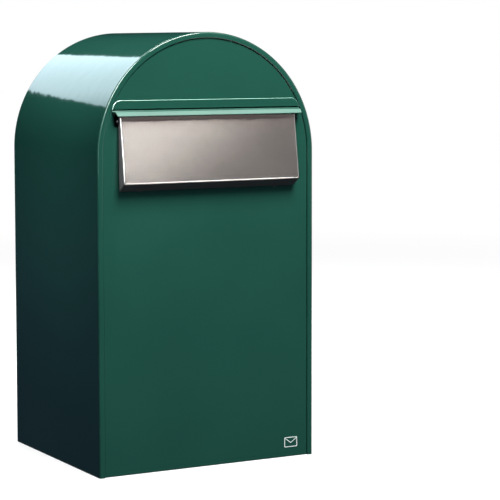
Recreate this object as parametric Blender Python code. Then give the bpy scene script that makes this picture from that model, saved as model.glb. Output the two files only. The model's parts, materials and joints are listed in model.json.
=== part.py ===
"""Parcel drop box: an arched steel box with a letter flap in front and a lockable drop-down door behind.

Units are metres and +Z is up. The origin is the middle of the floor plate's underside. The flap is on the
-Y side and the door on the +Y side. Every sheet-metal piece is folded from flat sheet, so most shapes here
come from one function each: a bent strip, a pan with its edges folded back, or a turned profile.
"""

import math

import bmesh
import bpy
from mathutils import Matrix, Vector

# Driving dimensions of the housing
BOX_WIDTH = 0.385
BOX_DEPTH = 0.340
BOX_HEIGHT = 0.695
SHEET = 0.0012
GAP = 0.0003  # between pieces that touch
LIP_WIDTH = 0.0095  # the shell's edge, folded in round the front and the rear panel
LIP_RETURN = 0.008
SHELL_BEND = 0.003
LIP_BEND = 0.0018
PANEL_RECESS = 0.0025
PANEL_RETURN = 0.010
PANEL_BEND = 0.002
ARCH_SEGMENTS = 36
BEND_SEGMENTS = 3
ROUND_SEGMENTS = 24
SMALL_ROUND_SEGMENTS = 16

HALF_WIDTH = BOX_WIDTH / 2
ARCH_CENTRE_Z = BOX_HEIGHT - HALF_WIDTH
FRONT_Y = -BOX_DEPTH / 2
REAR_Y = BOX_DEPTH / 2
PANEL_HALF_WIDTH = HALF_WIDTH - LIP_WIDTH - GAP
FRONT_FACE_Y = FRONT_Y + PANEL_RECESS
FRONT_BACK_Y = FRONT_FACE_Y + SHEET
REAR_FACE_Y = REAR_Y - PANEL_RECESS
REAR_BACK_Y = REAR_FACE_Y - SHEET

# Letter slot, its flap and the rain hood above it
SLOT_HALF_WIDTH = 0.150
SLOT_BOTTOM_Z = 0.457
SLOT_SHOULDER_Z = 0.548  # above this the slot is wider, for the flap's pivot
SLOT_TOP_Z = 0.567
SLOT_SHOULDER_HALF_WIDTH = 0.163
FLAP_SHEET = 0.001
FLAP_HALF_WIDTH = 0.157
FLAP_TOP_Z = 0.5635
FLAP_TOP_OUT = 0.0052  # how far the flap's face stands in front of the box at its top edge
FLAP_NOSE_Z = 0.460
FLAP_NOSE_OUT = 0.020
FLAP_HEEL_Z = 0.4475
FLAP_HEEL_OUT = 0.0018
FLAP_CHEEK_OUT = 0.0005
FLAP_AXIS = Vector((0.0, FRONT_Y - 0.0005, 0.556))
ROD_RADIUS = 0.002
ROD_HALF_LENGTH = 0.160
PIVOT_EAR_RADIUS = 0.0042
CAP_SHEET = 0.001
BRACKET_X = 0.148  # middle of each bracket's ear, which comes through the slot
BRACKET_SHEET = 0.002
BRACKET_EAR_RADIUS = 0.004
BRACKET_DEPTH = 0.010
BRACKET_FOOT_X = 0.172
BRACKET_LOW_Z = 0.515
BRACKET_HIGH_Z = 0.545
BUMPER_X = 0.120
BUMPER_Z = 0.4495
BUMPER_RADIUS = 0.004
HOOD_SHEET = 0.0015
HOOD_HALF_WIDTH = 0.167
HOOD_BEND_Z = 0.5722
HOOD_TOP_Z = 0.589
HOOD_CORNER_RADIUS = 0.0155
HOOD_BEND_RADII = (0.001, 0.0025)  # flange to shelf, and shelf to lip
HOOD_SHELF_OUT = 0.007
HOOD_SHELF_Z = 0.5716
HOOD_LIP_OUT = 0.0135
HOOD_LIP_Z = 0.5652
HOOD_LIP_INSET = 0.0035  # at each end

# Rear door, its hinge and its lock
DOOR_HALF_WIDTH = 0.159
DOOR_BOTTOM_Z = 0.002
DOOR_TOP_Z = 0.4055
DOOR_RETURN = 0.014
DOOR_SIDE_GAP = 0.0015
DOOR_TOP_GAP = 0.003
DOORWAY_HALF_WIDTH = DOOR_HALF_WIDTH + DOOR_SIDE_GAP
DOORWAY_TOP_Z = DOOR_TOP_Z + DOOR_TOP_GAP
DOOR_AXIS = Vector((0.0, REAR_FACE_Y - 0.006, 0.0155))
STOP_Y = REAR_FACE_Y - DOOR_RETURN - 0.0005  # outer face of the flange that the shut door meets
STOP_WIDTH = 0.0085
JAMB_BOTTOM_Z = 0.032
JAMB_FOOT = 0.012
HINGE_PIN_RADIUS = 0.0025
HINGE_PIN_HEAD_RADIUS = 0.0042
HINGE_PIN_HEAD_HEIGHT = 0.002
HINGE_PIN_END = DOOR_HALF_WIDTH + 0.0008
HINGE_ARM_X = 0.1505  # middle of each bracket's arm
HINGE_ARM_SHEET = 0.002
HINGE_ARM_RADIUS = 0.004
HINGE_FOOT_X = 0.1585
HINGE_LOW_Z = 0.038
HINGE_HIGH_Z = 0.062
BUSH_RADIUS = 0.0034
BUSH_FLANGE_RADIUS = 0.0045
BUSH_FLANGE = 0.003
STIFFENER_Z = 0.205
STIFFENER_HALF_LENGTH = 0.140
STIFFENER_HALF_HEIGHT = 0.025
STIFFENER_FOOT = 0.013  # half height where its feet end
STIFFENER_CROWN = 0.008  # half height of its flat top
STIFFENER_RISE = 0.009
LOCK_AXIS = Vector((0.0, REAR_FACE_Y, 0.382))
LOCK_HOLE_RADIUS = 0.0097
LOCK_BARREL_RADIUS = 0.0093
LOCK_HEAD_RADIUS = 0.0108
LOCK_FRONT = 0.009  # from the door's face
LOCK_BACK = -0.015
LOCK_NUT_FLATS = 0.024
LOCK_NUT_HEIGHT = 0.004
ROSETTE_RADIUS = 0.0128
ROSETTE_HEIGHT = 0.0027
PLUG_RADIUS = 0.0063
TANG_HALF = 0.003
CAM_SHEET = 0.0024
CAM_REACH = 0.023
CAM_HALF_WIDTH = 0.007
CAM_SCREW_RADIUS = 0.0015
CAM_SCREW_HEAD_RADIUS = 0.004
CAM_SCREW_HEAD_HEIGHT = 0.0025
CAM_WASHER_RADIUS = 0.005

# Floor plate
FLOOR_FLANGE = 0.018
FLOOR_FRONT_Y = FRONT_FACE_Y + PANEL_RETURN + GAP
FLOOR_REAR_Y = 0.145
FLOOR_HALF_WIDTH = HALF_WIDTH - SHEET - GAP
FIXING_HALF_X = 0.120
FIXING_HALF_Y = 0.090
FIXING_RADIUS = 0.0045

# Guard plate behind the slot
GUARD_HALF_WIDTH = 0.165
GUARD_FOOT_Z = 0.420
GUARD_CREST_Z = 0.4555
GUARD_EDGE = (-0.075, 0.440)
GUARD_TAIL = (-0.066, 0.402)
STUD_X = (-0.135, -0.045, 0.045, 0.135)
STUD_Z = 0.436
STUD_RADIUS = 0.0025
STUD_LENGTH = 0.0105
STUD_HOLE_RADIUS = 0.0032
STUD_NUT_FLATS = 0.008
STUD_NUT_HEIGHT = 0.004


# Scene, materials and objects


def clear_scene():
    for obj in list(bpy.data.objects):
        bpy.data.objects.remove(obj, do_unlink=True)


def make_material(name, colour, roughness, metallic):
    material = bpy.data.materials.new(name)
    material.use_nodes = True
    shader = material.node_tree.nodes["Principled BSDF"]
    shader.inputs["Base Color"].default_value = (*colour, 1.0)
    shader.inputs["Roughness"].default_value = roughness
    shader.inputs["Metallic"].default_value = metallic
    return material


def make_materials():
    return {
        "green_paint": make_material("green_paint", (0.012, 0.095, 0.065), 0.32, 0.0),
        "stainless": make_material("stainless", (0.56, 0.53, 0.51), 0.34, 1.0),
        "zinc": make_material("zinc", (0.60, 0.61, 0.62), 0.42, 1.0),
        "chrome": make_material("chrome", (0.80, 0.80, 0.82), 0.12, 1.0),
        "rubber": make_material("rubber", (0.02, 0.02, 0.02), 0.75, 0.0),
        "nylon": make_material("nylon", (0.03, 0.03, 0.032), 0.5, 0.0),
    }


def make_axis(name, location):
    """An empty on a joint's axis. Moving pieces hang on it."""
    empty = bpy.data.objects.new(name, None)
    empty.location = location
    empty.empty_display_size = 0.03
    bpy.context.scene.collection.objects.link(empty)
    return empty


def add_object(name, bm, material, axis=None, smooth=False):
    """Turns a bmesh in world coordinates into a named object, hung on its joint's empty if it moves."""
    bmesh.ops.recalc_face_normals(bm, faces=bm.faces)
    mesh = bpy.data.meshes.new(name)
    bm.to_mesh(mesh)
    bm.free()
    if smooth:
        mesh.shade_smooth()
        mesh.set_sharp_from_angle(angle=math.radians(35))
    if material:
        mesh.materials.append(material)
    obj = bpy.data.objects.new(name, mesh)
    bpy.context.scene.collection.objects.link(obj)
    if axis:
        obj.parent = axis
        obj.matrix_parent_inverse = Matrix.Translation(axis.location).inverted()
    return obj


def add_tool(name, bm, axis=None):
    """A helper solid for a Boolean, kept out of the object itself."""
    tool = add_object(name, bm, None, axis)
    tool.hide_render = True
    tool.display_type = "WIRE"
    return tool


def combine(obj, operation, *tools):
    for tool in tools:
        modifier = obj.modifiers.new(tool.name, "BOOLEAN")
        modifier.operation = operation
        modifier.object = tool
        modifier.solver = "EXACT"


# Outlines


def rounded_path(points, radius, segments=BEND_SEGMENTS):
    """An open 2-D path with each inner corner rounded. radius is one number, or one for each corner."""
    points = [Vector(p) for p in points]
    radii = list(radius) if hasattr(radius, "__len__") else [radius] * (len(points) - 2)
    path = [points[0]]
    for before, corner, after, r in zip(points, points[1:], points[2:], radii):
        a, b = (before - corner).normalized(), (after - corner).normalized()
        half = a.angle(b) / 2
        if r <= 0 or abs(half - math.pi / 2) < 1e-6:
            path.append(corner)
            continue
        centre = corner + (a + b).normalized() * (r / math.sin(half))
        start = corner + a * (r / math.tan(half)) - centre
        sweep = math.pi - 2 * half
        turn = 1 if start.y * a.x > start.x * a.y else -1
        for i in range(segments + 1):
            angle = turn * sweep * i / segments
            c, s = math.cos(angle), math.sin(angle)
            path.append(centre + Vector((start.x * c - start.y * s, start.x * s + start.y * c)))
    path.append(points[-1])
    return path


def offset_path(path, distance):
    """The path moved sideways, to its left for a positive distance."""
    moved = []
    for i, point in enumerate(path):
        before = path[max(i - 1, 0)]
        after = path[min(i + 1, len(path) - 1)]
        a = (point - before).normalized() if i else (after - point).normalized()
        b = (after - point).normalized() if i < len(path) - 1 else a
        normal_a, normal_b = Vector((-a.y, a.x)), Vector((-b.y, b.x))
        middle = (normal_a + normal_b).normalized()
        moved.append(point + middle * (distance / middle.dot(normal_a)))
    return moved


def arc(centre, radius, start, stop, segments=8):
    """Points of an arc in a plane, angles in degrees."""
    angles = [math.radians(start + (stop - start) * i / segments) for i in range(segments + 1)]
    return [(centre[0] + radius * math.cos(a), centre[1] + radius * math.sin(a)) for a in angles]


def arch_outline(inset=0.0):
    """Closed outline in X and Z of the arched panels, from bottom left over the arch to bottom right."""
    radius = PANEL_HALF_WIDTH - inset
    return [(-radius, inset), *arc((0, ARCH_CENTRE_Z), radius, 180, 0, ARCH_SEGMENTS), (radius, inset)]


def door_outline(inset=0.0):
    x = DOOR_HALF_WIDTH - inset
    low, high = DOOR_BOTTOM_Z + inset, DOOR_TOP_Z - inset
    return [(-x, low), (-x, high), (x, high), (x, low)]


# Solids


def bridge_loops(bm, loops, close_ends):
    """Joins each loop of vertices to the next. close_ends fills the first and last, or else joins them."""
    count = len(loops[0])
    pairs = list(zip(loops, loops[1:]))
    if not close_ends:
        pairs.append((loops[-1], loops[0]))
    for one, two in pairs:
        for i in range(count):
            j = (i + 1) % count
            bm.faces.new((one[i], one[j], two[j], two[i]))
    if close_ends:
        bm.faces.new(loops[0])
        bm.faces.new(loops[-1])


def prism(outline, low, high, axis="X"):
    """A 2-D outline pushed along an axis. The outline is (Y, Z) for X, (X, Z) for Y and (X, Y) for Z."""
    place = {
        "X": lambda u, v, w: (w, u, v),
        "Y": lambda u, v, w: (u, w, v),
        "Z": lambda u, v, w: (u, v, w),
    }[axis]
    bm = bmesh.new()
    loops = [[bm.verts.new(place(u, v, w)) for u, v in outline] for w in (low, high)]
    bridge_loops(bm, loops, close_ends=True)
    return bm


def box(low, high):
    (x0, y0, z0), (x1, y1, z1) = low, high
    return prism([(x0, y0), (x1, y0), (x1, y1), (x0, y1)], z0, z1, "Z")


def bent_strip(path, thickness, ends, axis="X"):
    """Sheet folded along a 2-D path. ends(u, v) gives its lowest and highest place along the axis."""
    place = {
        "X": lambda u, v, w: (w, u, v),
        "Z": lambda u, v, w: (u, v, w),
    }[axis]
    bm = bmesh.new()
    rings = []
    for outer, inner in zip(path, offset_path(path, thickness)):
        low, high = ends(*outer)
        corners = ((outer, low), (outer, high), (inner, high), (inner, low))
        rings.append([bm.verts.new(place(*point, along)) for point, along in corners])
    bridge_loops(bm, rings, close_ends=True)
    return bm


def pan(outline, face_y, depth, inward, bend, thickness=SHEET):
    """A flat panel with its edges folded back all round. inward is +1 if its edges point to +Y, or -1."""
    steps = [math.pi / 2 * i / BEND_SEGMENTS for i in range(BEND_SEGMENTS + 1)]
    inner_bend = bend - thickness
    outer = [(bend * (1 - math.sin(a)), bend * (1 - math.cos(a))) for a in steps]
    inner = [(bend - inner_bend * math.sin(a), bend - inner_bend * math.cos(a)) for a in steps]
    section = [*outer, (0.0, depth), (thickness, depth), *reversed(inner)]
    bm = bmesh.new()
    loops = [
        [bm.verts.new((x, face_y + inward * back, z)) for x, z in outline(inset)]
        for inset, back in section
    ]
    bridge_loops(bm, loops, close_ends=True)
    return bm


def turned(profile, centre, axis, segments=ROUND_SEGMENTS, closed=False):
    """A profile of (radius, distance along the axis) turned about an axis through centre.

    An open profile starts and ends on the axis. A closed one is a ring with a bore.
    """
    turn = Vector((0, 0, 1)).rotation_difference(Vector(axis)).to_matrix().to_4x4()
    bm = bmesh.new()
    rings = []
    for radius, along in profile:
        if radius <= 0:
            rings.append([bm.verts.new((0, 0, along))])
            continue
        angles = [2 * math.pi * i / segments for i in range(segments)]
        rings.append([bm.verts.new((radius * math.cos(a), radius * math.sin(a), along)) for a in angles])
    pairs = list(zip(rings, rings[1:]))
    if closed:
        pairs.append((rings[-1], rings[0]))
    for one, two in pairs:
        for i in range(segments):
            j = (i + 1) % segments
            corners = [one[i % len(one)], one[j % len(one)], two[j % len(two)], two[i % len(two)]]
            bm.faces.new(list(dict.fromkeys(corners)))
    bm.transform(Matrix.Translation(centre) @ turn)
    return bm


def rod(centre, axis, radius, low, high, segments=SMALL_ROUND_SEGMENTS):
    return turned([(0, low), (radius, low), (radius, high), (0, high)], centre, axis, segments)


def hex_nut(name, centre, axis, flats, bore, low, high, material, hang_on=None):
    corner = flats / 2 / math.cos(math.pi / 6)
    nut = add_object(name, rod(centre, axis, corner, low, high, 6), material, hang_on)
    margin = 0.002
    hole = add_tool(f"{name}_bore", rod(centre, axis, bore, low - margin, high + margin), hang_on)
    combine(nut, "DIFFERENCE", hole)
    return nut


# Housing


def make_shell(materials):
    """The wrapper: one sheet over both sides and the arch, its front and rear edges folded in twice."""
    corners = [
        (LIP_WIDTH, FRONT_Y + LIP_RETURN),
        (LIP_WIDTH, FRONT_Y),
        (0.0, FRONT_Y),
        (0.0, REAR_Y),
        (LIP_WIDTH, REAR_Y),
        (LIP_WIDTH, REAR_Y - LIP_RETURN),
    ]
    outer = rounded_path(corners, (LIP_BEND, SHELL_BEND, SHELL_BEND, LIP_BEND))
    section = [*outer, *reversed(offset_path(outer, -SHEET))]
    bm = bmesh.new()
    stations = [(-1.0, None), *arc((0, 0), 1.0, 180, 0, ARCH_SEGMENTS), (1.0, None)]
    loops = []
    for across, up in stations:
        loop = []
        for inset, y in section:
            radius = HALF_WIDTH - inset
            z = 0.0 if up is None else ARCH_CENTRE_Z + radius * up
            loop.append(bm.verts.new((radius * across, y, z)))
        loops.append(loop)
    bridge_loops(bm, loops, close_ends=True)
    add_object("shell", bm, materials["green_paint"], smooth=True)


def slot_outline():
    return [
        (-SLOT_HALF_WIDTH, SLOT_BOTTOM_Z),
        (SLOT_HALF_WIDTH, SLOT_BOTTOM_Z),
        (SLOT_HALF_WIDTH, SLOT_SHOULDER_Z),
        (SLOT_SHOULDER_HALF_WIDTH, SLOT_SHOULDER_Z),
        (SLOT_SHOULDER_HALF_WIDTH, SLOT_TOP_Z),
        (-SLOT_SHOULDER_HALF_WIDTH, SLOT_TOP_Z),
        (-SLOT_SHOULDER_HALF_WIDTH, SLOT_SHOULDER_Z),
        (-SLOT_HALF_WIDTH, SLOT_SHOULDER_Z),
    ]


def make_front_panel(materials):
    """The front face with its letter slot, and the four studs welded to its back."""
    bm = pan(arch_outline, FRONT_FACE_Y, PANEL_RETURN, 1, PANEL_BEND)
    panel = add_object("front_panel", bm, materials["green_paint"], smooth=True)
    slot = add_tool("slot_cutter", prism(slot_outline(), FRONT_Y - 0.01, FRONT_Y + 0.02, "Y"))
    combine(panel, "DIFFERENCE", slot)
    weld = SHEET / 2
    for i, x in enumerate(STUD_X):
        root = Vector((x, FRONT_BACK_Y - weld, STUD_Z))
        stud = rod(root, (0, 1, 0), STUD_RADIUS, 0.0, STUD_LENGTH + weld, 12)
        combine(panel, "UNION", add_tool(f"guard_stud_{i + 1}", stud))


def make_rain_hood(materials):
    """A strip on the front panel with round upper corners, bent out at its foot into a shelf and a drip lip."""
    flange_y = FRONT_FACE_Y - GAP - HOOD_SHEET
    corner_z = HOOD_TOP_Z - HOOD_CORNER_RADIUS
    steps = 6
    rises = [HOOD_CORNER_RADIUS * math.sin(math.pi / 2 * i / steps) for i in range(steps, 0, -1)]
    flange = [(flange_y, corner_z + rise) for rise in rises]
    shelf = (FRONT_Y - HOOD_SHELF_OUT, HOOD_SHELF_Z)
    lip = (FRONT_Y - HOOD_LIP_OUT, HOOD_LIP_Z)
    bends = rounded_path([(flange_y, corner_z), (flange_y, HOOD_BEND_Z), shelf, lip], HOOD_BEND_RADII)
    path = [Vector(p) for p in flange] + bends

    def ends(y, z):
        half = HOOD_HALF_WIDTH
        if z > corner_z:
            cut = math.sqrt(max(HOOD_CORNER_RADIUS**2 - (z - corner_z) ** 2, 0.0))
            half = HOOD_HALF_WIDTH - HOOD_CORNER_RADIUS + cut
        elif y < flange_y - 1e-6:
            half -= HOOD_LIP_INSET * (flange_y - y) / (flange_y - lip[0])
        return -half, half

    add_object("rain_hood", bent_strip(path, HOOD_SHEET, ends), materials["green_paint"])


def make_rear_panel(materials):
    """The rear face, with a doorway that is open at the foot."""
    bm = pan(arch_outline, REAR_FACE_Y, PANEL_RETURN, -1, PANEL_BEND)
    panel = add_object("rear_panel", bm, materials["green_paint"], smooth=True)
    low = (-DOORWAY_HALF_WIDTH, REAR_Y - 0.03, -0.01)
    high = (DOORWAY_HALF_WIDTH, REAR_Y + 0.01, DOORWAY_TOP_Z)
    combine(panel, "DIFFERENCE", add_tool("doorway_cutter", box(low, high)))


def doorway_section(edge, away):
    """Z-shaped section of a doorway rail: foot on the panel's back, side of the gap, and stop flange.

    edge is the doorway's edge along the section's first direction, and away is +1 or -1, pointing away from
    the doorway.
    """
    foot_y = REAR_BACK_Y - GAP
    stop = edge - away * STOP_WIDTH
    wall = edge + away * GAP
    return [(wall + away * JAMB_FOOT, foot_y), (wall, foot_y), (wall, STOP_Y), (stop, STOP_Y)]


def make_doorway_rails(materials):
    """Two jambs and a lintel behind the doorway's edges. The shut door meets their stop flanges."""
    top_z = DOORWAY_TOP_Z + JAMB_FOOT
    for side, away in (("left", -1), ("right", 1)):
        path = [Vector(p) for p in doorway_section(away * DOORWAY_HALF_WIDTH, away)]
        bm = bent_strip(path, away * SHEET, lambda u, v: (JAMB_BOTTOM_Z, top_z), "Z")
        add_object(f"jamb_{side}", bm, materials["green_paint"])
    path = [Vector((y, z)) for z, y in doorway_section(DOORWAY_TOP_Z, 1)]
    half = DOORWAY_HALF_WIDTH - STOP_WIDTH - GAP
    add_object("lintel", bent_strip(path, -SHEET, lambda u, v: (-half, half)), materials["green_paint"])


def make_floor(materials):
    """The floor plate, with its four edges folded up inside the walls."""
    steps = ((0.0, 0.0), (0.0, FLOOR_FLANGE), (SHEET, FLOOR_FLANGE), (SHEET, SHEET))
    bm = bmesh.new()
    loops = []
    for inset, z in steps:
        x = FLOOR_HALF_WIDTH - inset
        low, high = FLOOR_FRONT_Y + inset, FLOOR_REAR_Y - inset
        loops.append([bm.verts.new(p) for p in ((-x, low, z), (x, low, z), (x, high, z), (-x, high, z))])
    bridge_loops(bm, loops, close_ends=True)
    floor = add_object("floor_plate", bm, materials["green_paint"])
    corners = [(sx * FIXING_HALF_X, sy * FIXING_HALF_Y) for sx in (-1, 1) for sy in (-1, 1)]
    for i, (x, y) in enumerate(corners):
        hole = rod(Vector((x, y, 0)), (0, 0, 1), FIXING_RADIUS, -0.005, 0.010)
        combine(floor, "DIFFERENCE", add_tool(f"fixing_hole_{i + 1}", hole))


def make_guard(materials):
    """The plate behind the slot that stops a hand from reaching down, held on four studs."""
    foot_y = FRONT_BACK_Y + GAP
    corners = [(foot_y, GUARD_FOOT_Z), (foot_y, GUARD_CREST_Z), GUARD_EDGE, GUARD_TAIL]
    path = rounded_path(corners, 0.003)
    bm = bent_strip(path, -SHEET, lambda u, v: (-GUARD_HALF_WIDTH, GUARD_HALF_WIDTH))
    guard = add_object("guard_plate", bm, materials["green_paint"])
    inward = (0, 1, 0)
    bore = STUD_RADIUS + GAP
    seat = 2 * GAP + SHEET
    top = seat + STUD_NUT_HEIGHT
    for i, x in enumerate(STUD_X):
        centre = Vector((x, FRONT_BACK_Y, STUD_Z))
        hole = rod(centre, inward, STUD_HOLE_RADIUS, -0.002, 0.006)
        combine(guard, "DIFFERENCE", add_tool(f"guard_hole_{i + 1}", hole))
        hex_nut(f"guard_nut_{i + 1}", centre, inward, STUD_NUT_FLATS, bore, seat, top, materials["zinc"])


def make_flap_brackets(materials):
    """Two ears that carry the flap's rod, each on a foot behind the front panel."""
    axis = (FLAP_AXIS.y, FLAP_AXIS.z)
    foot_y = FRONT_BACK_Y + GAP
    back_y = foot_y + BRACKET_DEPTH
    ear = [
        (foot_y, BRACKET_LOW_Z),
        (back_y, BRACKET_LOW_Z),
        (back_y, axis[1] + BRACKET_EAR_RADIUS),
        *arc(axis, BRACKET_EAR_RADIUS, 90, 270),
        (foot_y, axis[1] - BRACKET_EAR_RADIUS),
    ]
    foot_low, foot_high = BRACKET_LOW_Z + 0.002, BRACKET_HIGH_Z - 0.002
    half = BRACKET_SHEET / 2
    for side, sign in (("left", -1), ("right", 1)):
        name = f"flap_bracket_{side}"
        x = sign * BRACKET_X
        bracket = add_object(name, prism(ear, x - half, x + half), materials["zinc"])
        near, far = sorted((x, sign * BRACKET_FOOT_X))
        foot = box((near, foot_y, foot_low), (far, foot_y + BRACKET_SHEET, foot_high))
        reach = 2 * BRACKET_SHEET
        hole = rod(Vector((x, *axis)), (1, 0, 0), ROD_RADIUS + GAP, -reach, reach)
        combine(bracket, "UNION", add_tool(f"{name}_foot", foot))
        combine(bracket, "DIFFERENCE", add_tool(f"{name}_hole", hole))


def make_bumpers(materials):
    """Two rubber buttons that the shut flap's heel rests on."""
    height = FRONT_FACE_Y - GAP - (FRONT_Y - FLAP_HEEL_OUT + GAP)
    rim = 0.001
    profile = [
        (0, 0),
        (BUMPER_RADIUS, 0),
        (BUMPER_RADIUS, height - rim),
        (BUMPER_RADIUS - rim, height),
        (0, height),
    ]
    for side, x in (("left", -BUMPER_X), ("right", BUMPER_X)):
        centre = Vector((x, FRONT_FACE_Y - GAP, BUMPER_Z))
        bm = turned(profile, centre, (0, -1, 0), SMALL_ROUND_SEGMENTS)
        add_object(f"flap_bumper_{side}", bm, materials["rubber"])


def make_hinge_brackets(materials):
    """Two arms on the jambs' stop flanges that reach down to the door's pins."""
    foot_y = STOP_Y - SHEET - GAP
    back_y = foot_y - HINGE_ARM_SHEET
    axis = (DOOR_AXIS.y, DOOR_AXIS.z)
    arm = [
        (back_y, HINGE_HIGH_Z),
        (back_y, HINGE_LOW_Z),
        *arc(axis, HINGE_ARM_RADIUS, 190, 350),
        (axis[0] + 0.003, axis[1] + 0.015),
        (STOP_Y + 0.004, HINGE_HIGH_Z),
    ]
    half = HINGE_ARM_SHEET / 2
    head = HINGE_ARM_X - half - GAP
    head_end = head - HINGE_PIN_HEAD_HEIGHT
    pin = [
        (0, head_end),
        (HINGE_PIN_HEAD_RADIUS, head_end),
        (HINGE_PIN_HEAD_RADIUS, head),
        (HINGE_PIN_RADIUS, head),
        (HINGE_PIN_RADIUS, HINGE_PIN_END),
        (0, HINGE_PIN_END),
    ]
    for side, sign in (("left", -1), ("right", 1)):
        name = f"hinge_bracket_{side}"
        x = sign * HINGE_ARM_X
        bracket = add_object(name, prism(arm, x - half, x + half), materials["zinc"])
        reach = 2 * HINGE_ARM_SHEET
        hole = rod(Vector((x, *axis)), (1, 0, 0), HINGE_PIN_RADIUS + GAP, -reach, reach)
        near, far = sorted((x, sign * HINGE_FOOT_X))
        foot = box((near, back_y, HINGE_LOW_Z + 0.002), (far, foot_y, HINGE_HIGH_Z - 0.002))
        combine(bracket, "UNION", add_tool(f"{name}_foot", foot))
        combine(bracket, "DIFFERENCE", add_tool(f"{name}_hole", hole))
        bm = turned(pin, DOOR_AXIS, (sign, 0, 0), SMALL_ROUND_SEGMENTS)
        add_object(f"hinge_pin_{side}", bm, materials["zinc"], smooth=True)


# Flap


def flap_outline():
    """Section of the flap in Y and Z: face, nose, heel, then the cheeks' rear edge and pivot ear."""
    axis = (FLAP_AXIS.y, FLAP_AXIS.z)
    return [
        (FRONT_Y - FLAP_TOP_OUT, FLAP_TOP_Z),
        (FRONT_Y - FLAP_NOSE_OUT, FLAP_NOSE_Z),
        (FRONT_Y - FLAP_HEEL_OUT, FLAP_HEEL_Z),
        (FRONT_Y - FLAP_CHEEK_OUT, FLAP_AXIS.z - 0.012),
        *arc(axis, PIVOT_EAR_RADIUS, -60, 90),
    ]


def flap_hollow():
    """The section that is cut away, open at the top and behind."""
    top, nose, heel = (Vector(p) for p in flap_outline()[:3])
    face = (nose - top).normalized()
    base = (heel - nose).normalized()
    inside_face = Vector((-face.y, face.x)) * FLAP_SHEET
    inside_base = Vector((-base.y, base.x)) * FLAP_SHEET
    corner = offset_path([top, nose, heel], FLAP_SHEET)[1]
    far = 0.03
    return [
        top + inside_face - face * far,
        corner,
        heel + inside_base + base * far,
        (FRONT_Y + far, FLAP_TOP_Z + far),
    ]


def make_flap(materials, axis):
    """A shallow tray of brushed stainless steel, open behind, that leans out to its nose."""
    width = FLAP_HALF_WIDTH
    flap = add_object("flap", prism(flap_outline(), -width, width), materials["stainless"], axis)
    inside = width - FLAP_SHEET
    beyond = width + 0.01
    bore = ROD_RADIUS + GAP
    hollow = add_tool("flap_hollow_cutter", prism(flap_hollow(), -inside, inside), axis)
    hole = rod(FLAP_AXIS, (1, 0, 0), bore, -beyond, beyond)
    combine(flap, "DIFFERENCE", hollow, add_tool("flap_rod_hole", hole, axis))
    bm = rod(FLAP_AXIS, (1, 0, 0), ROD_RADIUS, -ROD_HALF_LENGTH, ROD_HALF_LENGTH)
    add_object("flap_rod", bm, materials["zinc"], axis, smooth=True)
    rim = width + GAP
    bottom = ROD_HALF_LENGTH + GAP
    crown = bottom + CAP_SHEET
    cup = [
        (0, crown),
        (PIVOT_EAR_RADIUS - CAP_SHEET, crown),
        (PIVOT_EAR_RADIUS, rim + 0.0025),
        (PIVOT_EAR_RADIUS, rim),
        (bore, rim),
        (bore, bottom),
        (0, bottom),
    ]
    for side, sign in (("left", -1), ("right", 1)):
        bm = turned(cup, FLAP_AXIS, (sign, 0, 0), SMALL_ROUND_SEGMENTS)
        add_object(f"rod_cap_{side}", bm, materials["nylon"], axis, smooth=True)


# Door and lock


def make_door(materials, axis):
    """A pan with a hole for the lock and, in its side returns, holes for the hinge's bushes."""
    bm = pan(door_outline, REAR_FACE_Y, DOOR_RETURN, -1, PANEL_BEND)
    door = add_object("door", bm, materials["green_paint"], axis, smooth=True)
    lock_hole = rod(LOCK_AXIS, (0, 1, 0), LOCK_HOLE_RADIUS, -0.02, 0.02, ROUND_SEGMENTS)
    combine(door, "DIFFERENCE", add_tool("lock_hole", lock_hole, axis))
    bore = HINGE_PIN_RADIUS + GAP
    inside = DOOR_HALF_WIDTH - SHEET - GAP
    flange = inside - BUSH_FLANGE
    profile = [
        (bore, flange),
        (BUSH_FLANGE_RADIUS, flange),
        (BUSH_FLANGE_RADIUS, inside),
        (BUSH_RADIUS, inside),
        (BUSH_RADIUS, DOOR_HALF_WIDTH),
        (bore, DOOR_HALF_WIDTH),
    ]
    for side, sign in (("left", -1), ("right", 1)):
        centre = DOOR_AXIS + Vector((sign * DOOR_HALF_WIDTH, 0, 0))
        bush_hole = rod(centre, (1, 0, 0), BUSH_RADIUS + GAP, -0.004, 0.004)
        combine(door, "DIFFERENCE", add_tool(f"bush_hole_{side}", bush_hole, axis))
        bush = turned(profile, DOOR_AXIS, (sign, 0, 0), SMALL_ROUND_SEGMENTS, closed=True)
        add_object(f"door_bush_{side}", bush, materials["nylon"], axis, smooth=True)


def make_door_stiffener(materials, axis):
    """A hat section across the inside of the door."""
    back_y = REAR_BACK_Y - GAP
    steps = [STIFFENER_HALF_HEIGHT, STIFFENER_FOOT, STIFFENER_CROWN]
    rises = [0.0, 0.0, STIFFENER_RISE]
    hat = [(back_y - rise, STIFFENER_Z - step) for step, rise in zip(steps, rises)]
    hat += [(y, 2 * STIFFENER_Z - z) for y, z in reversed(hat)]
    half = STIFFENER_HALF_LENGTH
    bm = bent_strip(rounded_path(hat, 0.0018, 2), SHEET, lambda u, v: (-half, half))
    add_object("door_stiffener", bm, materials["green_paint"], axis)


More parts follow.
